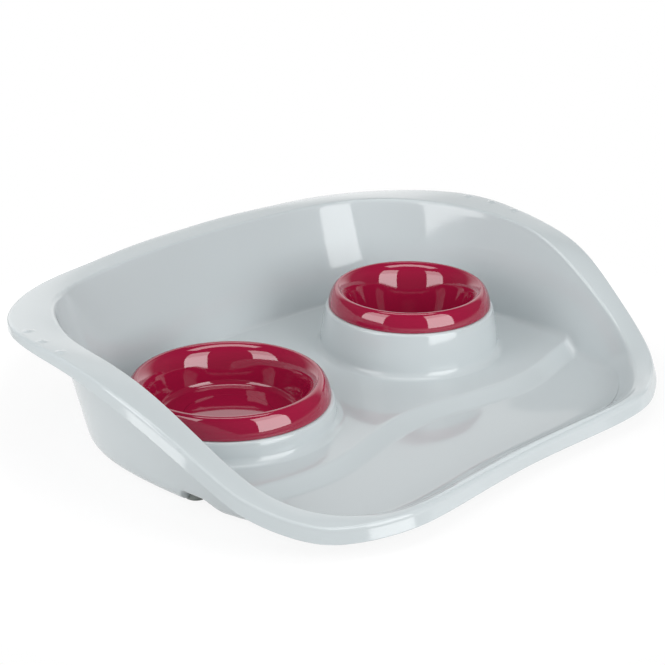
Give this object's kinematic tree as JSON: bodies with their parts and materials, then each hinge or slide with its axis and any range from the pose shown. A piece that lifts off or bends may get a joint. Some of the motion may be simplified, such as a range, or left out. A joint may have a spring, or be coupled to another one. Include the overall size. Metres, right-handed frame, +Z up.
{
  "type": "double pet bowl on tray",
  "caption": "Low feeding tray with a high swooping back wall, a wave step down to a front apron, and lift-out bowls on raised round seats.",
  "frame": {"origin": "on the ground under the middle of the tray's bounding box", "axes": "+X along the row of bowls towards the raised smaller bowl, +Y from the low front lip towards the high back wall, +Z up"},
  "size_m": [0.3602, 0.2834, 0.0753],
  "materials": {
    "tray_shell": "glossy pale grey moulded plastic",
    "bowl": "glossy raspberry red plastic",
    "foot_rubber": "grey soft rubber"
  },
  "bodies": {
    "tray": {"tray": "tray_shell", "foot_front_left": "foot_rubber", "foot_front_right": "foot_rubber", "foot_back_left": "foot_rubber", "foot_back_right": "foot_rubber"},
    "left_bowl": {"left_bowl": "bowl"},
    "right_bowl": {"right_bowl": "bowl"}
  },
  "joints": [
    {"name": "left_bowl_lift", "type": "slide", "parent": "tray", "child": "left_bowl", "axis": [0, 0, 1], "range_m": [0, 0.08]},
    {"name": "right_bowl_lift", "type": "slide", "parent": "tray", "child": "right_bowl", "axis": [0, 0, 1], "range_m": [0, 0.08]}
  ]
}
